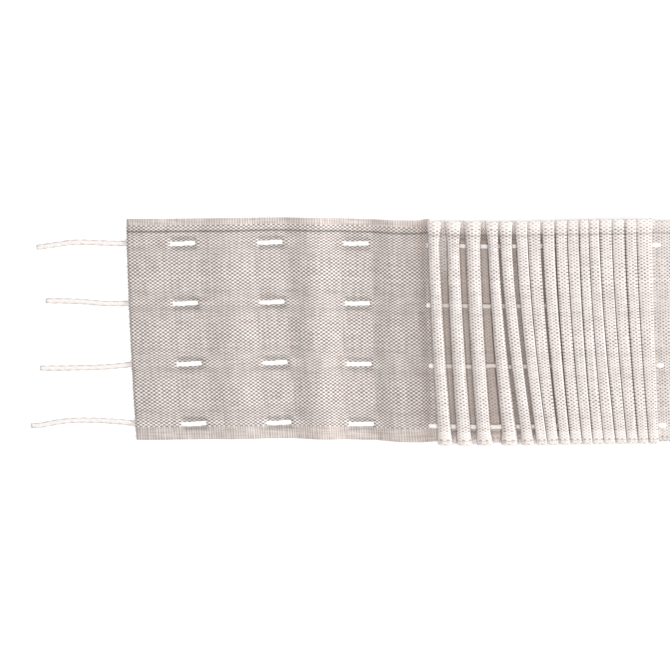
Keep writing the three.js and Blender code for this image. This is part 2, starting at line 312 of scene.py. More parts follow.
def through_pleats(name, y):
    """A cord's way through the pleats, as points of x and z."""
    entry = across(VALLEYS[0], y) - VALLEY_HALF
    leave = across(VALLEYS[-1], y) + VALLEY_HALF
    way = [
        (entry - CORD_RISE, max(ENTRY_LEVELS[name] - CORD_HEIGHT / 2, UNDER_Z)),
        (entry, ENTRY_LEVELS[name]),
        (lerp(entry, leave, LEVEL_SHARE), CORD_LEVEL),
    ]
    if name in PEEP_CORDS:
        way.append((leave - PEEP_RISE, CORD_LEVEL))
        way.append((leave - PEEP_INSIDE, PEEP_LEVEL))
        way.append((leave - PEEP_INSIDE + PEEP_LENGTH, PEEP_LEVEL))
    else:
        way.append((leave, CORD_LEVEL))
    way.append((leave + CORD_RISE, CORD_LEVEL - CORD_HEIGHT / 2))
    return way


def held_route(name):
    """A cord's route in the tape, from just inside the left cut to the right one."""
    y = CORD_Y[name]
    way = [(across(LEFT_END, y) + SPLICE, UNDER_Z)]
    for float_row in LEFT_FLOATS:
        way += over_float(across(float_row, y))
    way += through_pleats(name, y)
    way += over_float(across(RIGHT_FLOAT, y))
    way.append((across(RIGHT_END, y) - RIGHT_INSET, UNDER_Z))
    route = resampled([(x, y, z) for x, z in way], CORD_STEP)
    for point in route:
        point[1] += drift(point[0])
        for float_row in LEFT_FLOATS:
            aside = (point[0] - across(float_row, y)) / (FLOAT_LENGTH / 2) - 1
            point[1] += FLOAT_TILT * aside * math.exp(1 - aside * aside)
        if name == "draw_cord_3":
            point[1] += SLACK_RISE * math.exp(-(((point[0] - SLACK_X) / SLACK_REACH) ** 2))
    return route


def loose_route(name):
    points = [(x, y + DRIFT, UNDER_Z) for x, y in LOOSE_ENDS[name]]
    return resampled(points, CORD_STEP)


def twisted_cord(name, route, fullness, material):
    """A closed, loosely twisted and slightly flattened cord along a route in millimetres."""
    corners = []
    marks = []  # per corner, how far along the cord it is, and how high on its section
    gone = lengths_along(route)
    last = len(route) - 1
    for index, point in enumerate(route):
        along = route[min(index + 1, last)] - route[max(index - 1, 0)]
        along /= np.linalg.norm(along)
        side = np.cross([0, 0, 1], along)
        side /= np.linalg.norm(side)
        up = np.cross(along, side)
        turn = 2 * math.pi * gone[index] / TWIST_PITCH
        scale = BLUNT_END if index in (0, last) else 1
        for k in range(CORD_SIDES):
            angle = 2 * math.pi * k / CORD_SIDES
            groove = 1 - abs(math.cos(STRANDS * (angle - turn) / 2))
            lobe = scale * (1 - GROOVE_DEPTH * groove)
            reach_side = CORD_WIDTH * fullness / 2 * lobe * math.cos(angle)
            reach_up = CORD_HEIGHT / 2 * lobe * math.sin(angle)
            corners.append((point + side * reach_side + up * reach_up) * MM)
            marks.append((gone[index], math.sin(angle) * lobe))
    piece = add_piece(name, corners, tube_faces(len(route), CORD_SIDES), material)
    mesh = piece.data
    used = np.empty(len(mesh.loops), np.int32)
    mesh.loops.foreach_get("vertex_index", used)
    layer = mesh.uv_layers.new(name=CORD_MAP)
    layer.uv.foreach_set("vector", np.array(marks, np.float32)[used].ravel())
    return piece


class Graph:
    """A material's nodes, with short calls for arithmetic on them."""

    def __init__(self, name):
        self.material = bpy.data.materials.new(name)
        self.material.use_nodes = True
        self.tree = self.material.node_tree
        self.shader = self.tree.nodes["Principled BSDF"]

    def node(self, kind, **settings):
        made = self.tree.nodes.new(kind)
        for key, value in settings.items():
            setattr(made, key, value)
        return made

    def feed(self, socket, value):
        if isinstance(value, bpy.types.NodeSocket):
            self.tree.links.new(value, socket)
        else:
            socket.default_value = value

    def math(self, operation, *values):
        made = self.node("ShaderNodeMath", operation=operation)
        for socket, value in zip(made.inputs, values):
            self.feed(socket, value)
        return made.outputs[0]

    def plus(self, first, second):
        return self.math("ADD", first, second)

    def minus(self, first, second):
        return self.math("SUBTRACT", first, second)

    def times(self, first, second):
        return self.math("MULTIPLY", first, second)

    def wave(self, value, length):
        """A cosine that repeats every length of value."""
        return self.math("COSINE", self.times(value, 2 * math.pi / length))

    def bell(self, value, centre, half):
        """1 where value is at centre, falling away to both sides of it."""
        offset = self.math("DIVIDE", self.minus(value, centre), half)
        return self.math("EXPONENT", self.times(self.times(offset, offset), -1.0))

    def between(self, value, low, high, to_low=0.0, to_high=1.0):
        """value taken from low..high to to_low..to_high along a smooth step."""
        made = self.node("ShaderNodeMapRange", interpolation_type="SMOOTHSTEP")
        names = ("Value", "From Min", "From Max", "To Min", "To Max")
        for key, number in zip(names, (value, low, high, to_low, to_high)):
            self.feed(made.inputs[key], number)
        return made.outputs[0]

    def split(self, vector):
        made = self.node("ShaderNodeSeparateXYZ")
        self.feed(made.inputs[0], vector)
        return made.outputs

    def place(self):
        """Where a point lies on its object, as x, y and z in metres."""
        return self.split(self.node("ShaderNodeTexCoord").outputs["Object"])

    def mix(self, share, first, second, blend="MIX"):
        made = self.node("ShaderNodeMix", data_type="RGBA", blend_type=blend)
        self.feed(made.inputs[0], share)
        self.feed(made.inputs[6], first)
        self.feed(made.inputs[7], second)
        return made.outputs[2]

    def noise(self, vector, scale, detail=2.0):
        made = self.node("ShaderNodeTexNoise")
        self.feed(made.inputs["Vector"], vector)
        made.inputs["Scale"].default_value = scale
        made.inputs["Detail"].default_value = detail
        return made.outputs["Fac"]

    def vector(self, x, y, z=0.0):
        made = self.node("ShaderNodeCombineXYZ")
        for socket, value in zip(made.inputs, (x, y, z)):
            self.feed(socket, value)
        return made.outputs[0]

    def translucent(self, colour, share, warmth):
        """Feeds the colour to the shader, and lets a share of the light through, tinted by warmth."""
        self.feed(self.shader.inputs["Base Color"], colour)
        through = self.node("ShaderNodeBsdfTranslucent")
        self.feed(through.inputs["Color"], self.mix(1.0, colour, warmth, "MULTIPLY"))
        both = self.node("ShaderNodeMixShader")
        self.feed(both.inputs[0], share)
        self.feed(both.inputs[1], self.shader.outputs[0])
        self.feed(both.inputs[2], through.outputs[0])
        self.feed(self.tree.nodes["Material Output"].inputs["Surface"], both.outputs[0])

    def bump(self, height, distance, strength):
        made = self.node("ShaderNodeBump")
        made.inputs["Distance"].default_value = distance
        made.inputs["Strength"].default_value = strength
        self.feed(made.inputs["Height"], height)
        self.feed(self.shader.inputs["Normal"], made.outputs[0])

    def matt_yarn(self, roughness, sheen):
        """Sets the shader's plain numbers, and returns the material."""
        self.shader.inputs["Roughness"].default_value = roughness
        self.shader.inputs["Specular IOR Level"].default_value = 0.2
        self.shader.inputs["Sheen Weight"].default_value = sheen
        return self.material


def linear(red, green, blue):
    """A colour given in steps of 0 to 255, as Blender's linear one."""
    steps = []
    for value in (red, green, blue):
        value /= 255
        steps.append(value / 12.92 if value <= 0.04045 else ((value + 0.055) / 1.055) ** 2.4)
    return (*steps, 1)


CLOTH_MAP = "cloth"  # the UV map that holds millimetres along and across the flat cloth
WEFT_PITCH = 0.96
WARP_PITCH = 0.61
WARP_SPREAD = 0.22  # how much denser the warp is by the cords, in ends per millimetre
CORD_SPACING = 23.13  # mean distance between neighbouring cords
SLUBS = (0.12, 1.3)  # how finely the yarns' unevenness changes along and across the cloth, in the warp
PICKS = (1.1, 0.1)  # and in the weft

# The two looks of the weave: open on the flat length, and close on the pleats. Its yarns fill it where the
# height of the weave, blurred by wander, goes from low to high. selvedge is how much the selvedges differ.
Weave = namedtuple("Weave", "gap yarn low high wander selvedge edge_low edge_high dark_line")
OPEN = Weave(
    gap=linear(142, 125, 118),
    yarn=linear(255, 251, 248),
    low=-0.75,
    high=0.75,
    wander=0.6,
    selvedge=1,
    edge_low=linear(186, 174, 167),
    edge_high=linear(238, 231, 227),
    dark_line=0.56,
)
CLOSE = Weave(
    gap=linear(150, 133, 125),
    yarn=linear(242, 237, 234),
    low=-1,
    high=0.1,
    wander=1.1,
    selvedge=0.45,
    edge_low=linear(238, 232, 228),
    edge_high=linear(255, 253, 251),
    dark_line=0.28,
)
CLOSE_FROM, CLOSE_TO = 1, 6  # the weave closes between these lengths past the climb to the pleats
TAIL_HALF = 2  # the tail's shade comes in this far before and after the pleats' end
CLOTH_SHEERNESS = 0.27  # share of the light that passes through each face of the cloth
THROUGH_TINT = linear(255, 240, 232)  # and how that light is tinted
UNEVEN_TONE = 0.12
END_PAINTED_LIGHT, CLIMB_PAINTED_LIGHT = -0.08, 0.06  # painted light: how much lighter the flat length is at its end and by the pleats
TAIL_SHADE = 0.15  # how much darker the cloth is past the pleats
VALLEY_SHADE_SHARE, VALLEY_SHADE_LOW, VALLEY_SHADE_HIGH = 0.55, 2.5, 5  # painted shade: how even and brown the cloth is made low between the pleats, and the heights over which it fades out
VALLEY_SHADE_BROWN = linear(201, 185, 174)
HALO_ASIDE, HALO_HALF, HALO_DEPTH = 1.9, 0.9, 0.27  # painted shadow of the cord beside each float, where the weave is also drawn open
HALO_END = 1  # and this far past a float's ends
LINE_Y, LINE_HALF = 37.6, 0.42  # the dark warp line by the header edge
DOTS_Y, DOTS_HALF, DOTS_DEPTH = -40.8, 0.3, 0.5  # the row of dark stitches by the foot edge
DOT_LOW, DOT_HIGH = -0.2, 0.4  # heights of the weft between which a stitch starts and ends
HEAD_SELVEDGE, FOOT_SELVEDGE = 40, -37.3  # the widths at which the selvedges start
SELVEDGE_SOFT = 0.15  # and how far before and after that their look comes in
SELVEDGE_WANDER, SELVEDGE_RANGE = 4.0, 2.4  # their ribs are blurred by uneven yarns, within this range
SELVEDGE_RIBS = 0.4  # how high their ribs are beside the weave
WEAVE_RELIEF = (0.0001, 0.6)  # of the weave: its depth in metres, and its strength
# Bands along the tape at these widths, lighter or darker by their gain
ToneBand = namedtuple("ToneBand", "y half gain")
TONE_BANDS = [
    ToneBand(19.6, 0.5, 0.07),
    ToneBand(14.3, 1.2, -0.06),
    ToneBand(7.4, 0.9, -0.07),
    ToneBand(-8, 1.2, -0.05),
    ToneBand(-16.4, 0.9, -0.06),
    ToneBand(-31.7, 1.2, -0.06),
]


# Where things lie along the flat cloth: the end of its climb to the pleats, the end of the pleats, and the
# start and end of each left float.
Marks = namedtuple("Marks", "climbed unpleated floats")


class Cloth(Graph):
    """The cloth's material: plain weave with its selvedges, lighter and darker bands along it, dark warp
    line and stitches.
    """

    def __init__(self, marks):
        super().__init__("woven_cloth")
        self.marks = marks
        self.along, self.over, _ = self.split(self.node("ShaderNodeUVMap", uv_map=CLOTH_MAP).outputs[0])
        self.weft = self.wave(self.along, 2 * WEFT_PITCH)
        self.ribs = self.wave(self.along, WEFT_PITCH)
        self.uneven = self.plus(self.unevenness(*SLUBS), self.unevenness(*PICKS))
        self.close = self.between(self.along, marks.climbed + CLOSE_FROM, marks.climbed + CLOSE_TO)
        self.tail = self.between(self.along, marks.unpleated - TAIL_HALF, marks.unpleated + TAIL_HALF)

    def unevenness(self, fine_along, fine_over):
        place = self.vector(self.times(self.along, fine_along), self.times(self.over, fine_over))
        return self.minus(self.noise(place, 1.0), 0.5)

    def closing(self, when_open, when_close):
        """A number that changes as the weave closes."""
        return self.math("MULTIPLY_ADD", self.close, when_close - when_open, when_open)

    def weave(self):
        """Height of the plain weave, from -1 to 1."""
        beat = self.times(self.minus(self.over, CORD_Y["draw_cord_1"]), 2 * math.pi / CORD_SPACING)
        denser = self.times(self.math("SINE", beat), WARP_SPREAD * CORD_SPACING / 2)
        steady = self.times(self.over, math.pi / WARP_PITCH)
        return self.times(self.weft, self.math("COSINE", self.plus(steady, denser)))

    def body(self, weave):
        """Colour of the weave, with painted shade low between the pleats."""
        wander = self.times(self.uneven, self.closing(OPEN.wander, CLOSE.wander))
        low, high = self.closing(OPEN.low, CLOSE.low), self.closing(OPEN.high, CLOSE.high)
        filled = self.between(self.plus(weave, wander), low, high)
        gap = self.mix(self.close, OPEN.gap, CLOSE.gap)
        yarn = self.mix(self.close, OPEN.yarn, CLOSE.yarn)
        # painted shade: low between the pleats the weave is mixed towards a flat brown
        painted_valley_shade = self.between(self.place()[2], VALLEY_SHADE_LOW * MM, VALLEY_SHADE_HIGH * MM, VALLEY_SHADE_SHARE, 0.0)
        pleated = self.times(self.close, self.minus(1.0, self.tail))
        return self.mix(self.times(painted_valley_shade, pleated), self.mix(filled, gap, yarn), VALLEY_SHADE_BROWN)

    def selvedge_share(self):
        """How much the cloth looks like its selvedges, across its width."""
        head, foot = HEAD_SELVEDGE, FOOT_SELVEDGE
        in_head = self.between(self.over, head - SELVEDGE_SOFT, head + SELVEDGE_SOFT)
        in_foot = self.between(self.over, foot - SELVEDGE_SOFT, foot + SELVEDGE_SOFT, 1.0, 0.0)
        inside = self.math("MAXIMUM", in_head, in_foot)
        return self.times(inside, self.closing(OPEN.selvedge, CLOSE.selvedge))

    def selvedge(self):
        """Colour of the selvedges."""
        ribs = self.plus(self.ribs, self.times(self.uneven, SELVEDGE_WANDER))
        low = self.mix(self.close, OPEN.edge_low, CLOSE.edge_low)
        high = self.mix(self.close, OPEN.edge_high, CLOSE.edge_high)
        return self.mix(self.between(ribs, -SELVEDGE_RANGE, SELVEDGE_RANGE), low, high)

    def tone(self):
        """Brightness of the cloth, along and across it, with painted light and shade in it."""
        tone = self.plus(self.times(self.uneven, UNEVEN_TONE), 1.0)
        # painted light: the flat length is darker towards its left end and lighter by the pleats
        painted_light_along = self.between(self.along, 0.0, self.marks.climbed, END_PAINTED_LIGHT, CLIMB_PAINTED_LIGHT)
        tone = self.plus(tone, self.times(painted_light_along, self.minus(1.0, self.close)))
        for band in TONE_BANDS:
            tone = self.plus(tone, self.times(self.bell(self.over, band.y, band.half), band.gain))
        tone = self.minus(tone, self.times(self.tail, TAIL_SHADE))
        dark_line = self.closing(OPEN.dark_line, CLOSE.dark_line)
        tone = self.minus(tone, self.times(self.bell(self.over, LINE_Y, LINE_HALF), dark_line))
        stitch = self.between(self.weft, DOT_LOW, DOT_HIGH)
        dots = self.times(self.bell(self.over, DOTS_Y, DOTS_HALF), stitch)
        tone = self.minus(tone, self.times(self.times(dots, self.close), DOTS_DEPTH))
        # painted shadow beside each float, where the weave is also drawn open
        halo = self.bell(self.beside_cords(), HALO_ASIDE, HALO_HALF)
        for start, end in self.marks.floats:
            past_start = self.between(self.along, start - HALO_END, start + HALO_END)
            before_end = self.between(self.along, end + HALO_END, end - HALO_END)
            here = self.times(halo, self.times(past_start, before_end))
            tone = self.minus(tone, self.times(here, HALO_DEPTH))
        return tone

    def beside_cords(self):
        """How far aside of the nearest cord a point lies."""
        aside = float(TAPE_WIDTH)
        for y in CORD_Y.values():
            aside = self.math("MINIMUM", aside, self.math("ABSOLUTE", self.minus(self.over, y)))
        return aside


def cloth_material(marks):
    g = Cloth(marks)
    weave = g.weave()
    share = g.selvedge_share()
    colour = g.mix(share, g.body(weave), g.selvedge())
    tone = g.tone()
    toned = g.mix(1.0, colour, g.vector(tone, tone, tone), "MULTIPLY")
    g.translucent(toned, CLOTH_SHEERNESS, THROUGH_TINT)
    ribs = g.times(g.ribs, g.times(share, SELVEDGE_RIBS))
    g.bump(g.plus(g.times(weave, g.minus(1.0, share)), ribs), *WEAVE_RELIEF)
    return g.matt_yarn(roughness=0.9, sheen=0.15)


# A cord's yarn has painted shade on the lower half of its section, fading out up to a given height: 0 is
# halfway up the section and 1 is on top.
Yarn = namedtuple("Yarn", "name rim rim_top dull bright")
HELD_YARN = Yarn("held_cord", linear(228, 222, 218), 0.45, linear(243, 240, 237), linear(255, 254, 252))
LOOSE_YARN = Yarn("loose_cord", linear(168, 157, 151), 0.88, linear(213, 206, 202), linear(234, 229, 226))
PLEAT_SHADE_ON_CORDS = linear(232, 224, 219)  # painted shade, a duller look on the two inner cords where they run between the pleats
PLEATS_START, PLEATS_RUN = -5, 3  # where it starts, and the length over which it does
OUTER_CORDS = 25  # the two outer cords run further than this from the middle
FIBRE_STRETCH, FIBRE_SLANT = 0.35, 0.12  # fibres run along a cord, a little aslant
CORD_FIBRES, CUT_FIBRES = 4500, 1800  # how fine they are, per metre, on a cord and on a cut yarn
FIBRE_DETAIL = 3.0
FIBRE_LOW, FIBRE_HIGH = 0.3, 0.7  # range of the noise that goes from dull to bright
CORD_RELIEF, CUT_RELIEF = (0.00012, 0.5), (0.0001, 0.5)
CUT_DULL, CUT_BRIGHT = linear(190, 178, 170), linear(244, 239, 235)


def cord_material(yarn):
    """Soft off-white yarn with fine fibres along it, and painted shade on its lower sides."""
    g = Graph(yarn.name)
    section = g.split(g.node("ShaderNodeUVMap", uv_map=CORD_MAP).outputs[0])
    upper = g.between(section[1], 0.0, yarn.rim_top)
    x, y, z = g.place()
    strip = g.vector(g.times(x, FIBRE_STRETCH), g.plus(y, g.times(x, FIBRE_SLANT)), z)
    fibres = g.noise(strip, CORD_FIBRES, FIBRE_DETAIL)
    tone = g.mix(g.between(fibres, FIBRE_LOW, FIBRE_HIGH), yarn.dull, yarn.bright)
    # painted shade on the two inner cords between the pleats
    past_start = g.between(x, PLEATS_START * MM, (PLEATS_START + PLEATS_RUN) * MM)
    inner = g.math("LESS_THAN", g.math("ABSOLUTE", y), OUTER_CORDS * MM)
    tone = g.mix(g.times(past_start, inner), tone, PLEAT_SHADE_ON_CORDS)
    # painted shade on the lower half of the cord's section
    g.feed(g.shader.inputs["Base Color"], g.mix(upper, yarn.rim, tone))
    g.bump(fibres, *CORD_RELIEF)
    return g.matt_yarn(roughness=0.85, sheen=0.2)


# The tape's sheet. Its rows run across the tape and its columns along it. Each stretch of its path has so
# many steps, and a float has points at these places about each of its ends, and past its start between them.
LAID_STEPS = 14
CLIMB_STEPS = 18
FALL_STEPS = 14
TAIL_STEPS = 9
FLOAT_EDGE = [-1, -0.5, 0, 0.5, 1]
FLOAT_MIDDLE = [3.3, 5, 6.7]
CORNER_STEPS = 3
WALL_STEPS = 4
CROWN_STEPS = 14
RAISED_HEAD, RAISED_FOOT = 12.5, 11.7  # a closed valley comes up this far at the edges, past the cords
RAISED_PACE = 2.2  # and has done so well before the edge
RAISED_LEAST = 6  # a valley that stands this far open doesn't come up at all


def profile(rows, share):
    """Height by share of the way, on a smooth curve through the rows of a table."""
    index = 0
    while index < len(rows) - 2 and share > rows[index + 1].share:
        index += 1
    a, b = rows[index], rows[index + 1]
    before = rows[max(index - 1, 0)]
    after = rows[min(index + 2, len(rows) - 1)]
    run = b.share - a.share
    slope_a = (b.z - before.z) / (b.share - before.share) * run
    slope_b = (after.z - a.z) / (after.share - a.share) * run
    t = (share - a.share) / run
    return (
        (2 * t**3 - 3 * t**2 + 1) * a.z
        + (t**3 - 2 * t**2 + t) * slope_a
        + (3 * t**2 - 2 * t**3) * b.z
        + (t**3 - t**2) * slope_b
    )


def corner(centre_x, centre_z, radius, start):
    """Points round a quarter of a circle. It starts so many quarter turns from +X towards +Z."""
    points = []
    for step in range(CORNER_STEPS + 1):
        angle = math.pi / 2 * (start + step / CORNER_STEPS)
        points.append((centre_x + radius * math.cos(angle), centre_z + radius * math.sin(angle)))
    return points


def crown(left, right, beside):
    """Points over the top of a pleat, as high as the cloth between two floats lets it stand. beside is how
    wide the valleys next to it stand open."""
    reach = (right - left) / 2
    crowded = smooth(1 - beside / CROWDED_BELOW)
    power = lerp(FREE_CROWN.power, CROWDED_CROWN.power, crowded)
    height = lerp(FREE_CROWN.height, CROWDED_CROWN.height, crowded)
    points = []
    for step in range(CROWN_STEPS + 1):
        angle = math.pi * (1 - step / CROWN_STEPS)
        aside, above = math.cos(angle), abs(math.sin(angle))
        x = (left + right) / 2 + reach * math.copysign(abs(aside) ** (2 / power), aside)
        points.append((x, reach * height * above ** (2 / power)))
    over = sum(math.dist(a, b) for a, b in zip(points, points[1:]))
    shoulder = CORD_LEVEL + (UNDER_LENGTH - over) / 2
    return [(x, shoulder + z) for x, z in points]


def bottom_half(valley, y):
    """From a valley's middle to the middle of the cloth beside it, at its bottom."""
    return max(VALLEY_HALF, open_width(valley, y) / 2 + MID_CLOTH)


def raised(valley, y):
    """How far a valley's floor is raised at width y."""
    at_head = RAISED_HEAD * smooth(past_head(y) * RAISED_PACE) * (1 - valley.open_head / RAISED_LEAST)
    at_foot = RAISED_FOOT * smooth(past_foot(y) * RAISED_PACE) * (1 - valley.open_foot / RAISED_LEAST)
    return max(at_head, valley.lift * smooth((y - LIFT_FROM) / (HALF_WIDTH - LIFT_FROM))) + at_foot


class Path:
    """The middle of the cloth along the tape at width y, as points of x and z from left to right."""

    def __init__(self, y):
        self.y = y
        self.rib = rib_lift(y)
        self.points = []

    def lay(self, x, lift, ribbed=1.0):
        """A point of cloth near the ground, lifted by its own swell and by a cord under it."""
        lifted = (max(lift, 0) ** 3 + (self.rib * ribbed) ** 3) ** (1 / 3)
        self.points.append((x, MID_CLOTH + lifted))

    def lay_float(self, row):
        """Cloth under a float. Returns where the rib has its full height again."""
        start = across(row, self.y)
        for aside in FLOAT_EDGE:
            self.lay(start + aside, 0, smooth(0.5 - aside / RIB_FALL))
        for aside in FLOAT_MIDDLE:
            self.lay(start + aside, 0, 0)
        for aside in FLOAT_EDGE:
            self.lay(start + FLOAT_LENGTH + aside, 0, smooth(0.5 + aside / RIB_FALL))
        return start + FLOAT_LENGTH + RIB_FALL / 2

    def swell(self, begin, row):
        """Cloth that swells up before a float."""
        end = across(row, self.y) - RIB_FALL / 2
        for step in range(1, LAID_STEPS):
            share = step / LAID_STEPS
            lift = row.swell * math.sin(math.pi * share**SWELL_SKEW) ** SWELL_POWER
            self.lay(lerp(begin, end, share), lift)

    def climb(self, begin):
        """Cloth that climbs to the first pleat."""
        end = across(VALLEYS[0], self.y) - bottom_half(VALLEYS[0], self.y)
        for step in range(1, CLIMB_STEPS + 1):
            share = step / CLIMB_STEPS
            self.lay(lerp(begin, end, share), profile(CLIMB, share) - MID_CLOTH)

    def wall(self, x, z):
        """Straight cloth to a point."""
        start_x, start_z = self.points[-1]
        for step in range(1, WALL_STEPS + 1):
            share = step / WALL_STEPS
            self.points.append((lerp(start_x, x, share), lerp(start_z, z, share)))

    def valley(self, valley):
        """Down into a valley and over its floor. Returns how high the wall beyond starts."""
        near = across(valley, self.y) - bottom_half(valley, self.y)
        far = across(valley, self.y) + bottom_half(valley, self.y) - valley.lean * down_tape(self.y)
        far = max(far, near + 2 * VALLEY_RADIUS + LEAST_FLOOR)
        low = MID_CLOTH + VALLEY_RADIUS
        if valley is not VALLEYS[0]:
            low += raised(valley, self.y)
            self.wall(near, low)
            self.points += corner(near + VALLEY_RADIUS, low, VALLEY_RADIUS, 2)[1:]
        self.points.append(((near + far) / 2, low - VALLEY_RADIUS))
        self.points += corner(far - VALLEY_RADIUS, low, VALLEY_RADIUS, 3)
        return low

    def pleat(self, valley, following, low):
        """Up the wall of the pleat between two valleys, and over its top."""
        opening, next_opening = open_width(valley, self.y), open_width(following, self.y)
        left = across(valley, self.y) + opening / 2 + MID_CLOTH
        right = across(following, self.y) - next_opening / 2 - MID_CLOTH
        top = crown(left, right, (opening + next_opening) / 2)
        halfway = lerp(low, top[0][1], 0.5)
        self.wall(left, min(low + LEAN_RISE, halfway))
        self.wall(*top[0])
        self.points += top[1:]

    def fall(self):
        """Down the last pleat's wall, and on to the right float."""
        begin = self.points[-1][0] + TAIL_RADIUS
        low = FALL[0].z + TAIL_RADIUS
        self.wall(self.points[-1][0], low)
        self.points += corner(begin, low, TAIL_RADIUS, 2)[1:]
        end = across(RIGHT_FLOAT, self.y) - RIB_FALL / 2
        for step in range(1, FALL_STEPS):
            share = step / FALL_STEPS
            self.lay(lerp(begin, end, share), profile(FALL, share) - MID_CLOTH)


def cloth_path(y):
    """The points of the cloth's whole path at width y."""
    path = Path(y)
    begin = across(LEFT_END, y)
    path.lay(begin, 0)
    for row in LEFT_FLOATS:
        path.swell(begin, row)
        begin = path.lay_float(row)
    path.climb(begin)
    for valley, following in zip(VALLEYS, VALLEYS[1:]):
        low = path.valley(valley)
        path.pleat(valley, following, low)
    path.fall()
    begin = path.lay_float(RIGHT_FLOAT)
    for step in range(1, TAIL_STEPS + 1):
        path.lay(lerp(begin, across(RIGHT_END, y), step / TAIL_STEPS), 0)
    return path.points


EDGE_ROUND = 0.6  # the sheet thins out this far from its edges
EDGE_THIN, END_THIN = 0.35, 0.7  # shares of its thickness that it keeps at its edges and at its ends
EDGE_COLUMNS = (0, 0.2, EDGE_ROUND)
CORD_COLUMNS = (0, 0.5, 1.1, 1.7, 2.4, RIB_HALF)
COLUMN_STEP = 3.2


def columns():
    """The widths at which the sheet has points, close together over the cords and at the edges."""
    found = set()
    for inside in EDGE_COLUMNS:
        found.update((-HALF_WIDTH + inside, HALF_WIDTH - inside))
    for cord in CORD_Y.values():
        for aside in CORD_COLUMNS:
            found.update((cord - aside, cord + aside))
    edge = HALF_WIDTH - EDGE_ROUND
    stops = [-edge, *sorted(CORD_Y.values()), edge]
    for low, high in zip(stops, stops[1:]):
        start = low if low == -edge else low + RIB_HALF
        end = high if high == edge else high - RIB_HALF
        count = max(int(round((end - start) / COLUMN_STEP)), 2)
        for step in range(1, count):
            found.add(lerp(start, end, step / count))
    return sorted(found)


def edge_fullness(y):
    """Share of the full thickness at width y, less at the very edges."""
    inside = HALF_WIDTH - abs(y)
    return lerp(EDGE_THIN, 1, math.sin(math.pi / 2 * clamp(inside / EDGE_ROUND)))


def half_thickness(middle, widths):
    """What leads from each point of the middle of the cloth to its upper face."""
    normal = np.cross(np.gradient(middle, axis=0), np.gradient(middle, axis=1))
    normal /= np.linalg.norm(normal, axis=2, keepdims=True)
    full = np.array([edge_fullness(y) for y in widths])[None, :, None] * np.ones((len(middle), 1, 1))
    full[[0, -1]] *= END_THIN
    return normal * full * CLOTH / 2


def sheet_faces(rows, cols):
    """Each face of the sheet, as the side it is shown with and the row, column and side of its corners."""
    end, edge = rows - 1, cols - 1
    for r in range(end):
        for c in range(edge):
            yield 0, [(r, c, 0), (r + 1, c, 0), (r + 1, c + 1, 0), (r, c + 1, 0)]
            yield 1, [(r, c, 1), (r, c + 1, 1), (r + 1, c + 1, 1), (r + 1, c, 1)]
        yield 0, [(r, 0, 1), (r + 1, 0, 1), (r + 1, 0, 0), (r, 0, 0)]
        yield 0, [(r, edge, 0), (r + 1, edge, 0), (r + 1, edge, 1), (r, edge, 1)]
    for c in range(edge):
        yield 0, [(0, c, 0), (0, c + 1, 0), (0, c + 1, 1), (0, c, 1)]
        yield 0, [(end, c, 1), (end, c + 1, 1), (end, c + 1, 0), (end, c, 0)]


BAKE_STRIPS = 4  # strips to a side in the second UV map, one above another
BAKE_MARGIN = 3


def bake_places(length, widths, side, places):
    """A face's corners in the second UV map, where the sheet's rim lies beside its upper side."""
    strip = length[-1] / BAKE_STRIPS
    number = min(int(length[places[0][0]] / strip), BAKE_STRIPS - 1)
    found = []
    for r, c, s in places:
        lip = 0.0 if s == side else CLOTH
        u = length[r] + lip * ((r == len(length) - 1) - (r == 0))
        v = widths[c] + lip * ((c == len(widths) - 1) - (c == 0))
        along = (u - number * strip + BAKE_MARGIN) / (strip + 2 * BAKE_MARGIN)
        over = (v + HALF_WIDTH + BAKE_MARGIN) / (TAPE_WIDTH + 2 * BAKE_MARGIN)
        found.append((along, (number + BAKE_STRIPS * side + over) / (2 * BAKE_STRIPS)))
    return found


def flat_marks(length):
    """Where things lie along the flat cloth, by counting the points of cloth_path."""
    float_rows = 2 * len(FLOAT_EDGE) + len(FLOAT_MIDDLE)
    to_edge = len(FLOAT_EDGE) // 2
    floats = []
    row = 0
    for _ in LEFT_FLOATS:
        row += LAID_STEPS - 1
        floats.append((float(length[row + 1 + to_edge]), float(length[row + float_rows - to_edge])))
        row += float_rows
    climbed = float(length[row + CLIMB_STEPS])
    unpleated = float(length[-TAIL_STEPS - float_rows - FALL_STEPS])
    return Marks(climbed, unpleated, floats)


def tape_sheet():
    """The whole tape as one closed thin sheet. Returns it with the flat cloth's length."""
    widths = columns()
    paths = [[(x, y + drift(x) + flare(x, y), z) for x, z in cloth_path(y)] for y in widths]
    middle = np.array(paths).transpose(1, 0, 2)
    length = lengths_along(middle[:, len(widths) // 2])
    offset = half_thickness(middle, widths)
    rows, cols = middle.shape[:2]
    corners = np.concatenate([(middle + offset).reshape(-1, 3), (middle - offset).reshape(-1, 3)]) * MM
    faces, cloth_uv, bake_uv = [], [], []
    for side, places in sheet_faces(rows, cols):
        faces.append([r * cols + c + rows * cols * s for r, c, s in places])
        cloth_uv += [(length[r], widths[c]) for r, c, s in places]
        bake_uv += bake_places(length, widths, side, places)
    piece = add_piece("gathered_tape", corners.tolist(), faces, cloth_material(flat_marks(length)))
    for name, places in ((CLOTH_MAP, cloth_uv), ("OFBake", bake_uv)):
        layer = piece.data.uv_layers.new(name=name)
        layer.uv.foreach_set("vector", np.array(places, np.float32).ravel())
    return piece, float(length[-1])


STUB_PITCH = 0.62  # one cut warp yarn after another along a cut end
STUB_MARGIN = 1  # the outermost ones keep this clear of the edges
STUB_LEAST, STUB_MORE = 0.15, 0.5  # how far each stands out of the cut
STUB_ROOT = 0.4  # and how far inside it each starts
STUB_BEND = 0.2  # the most that a tip leans aside
STUB_RADIUS = 0.26
STUB_MIDDLE, STUB_TIP = 0.85, 0.45  # shares of the radius halfway out and at the tip
STUB_SIDES = 5


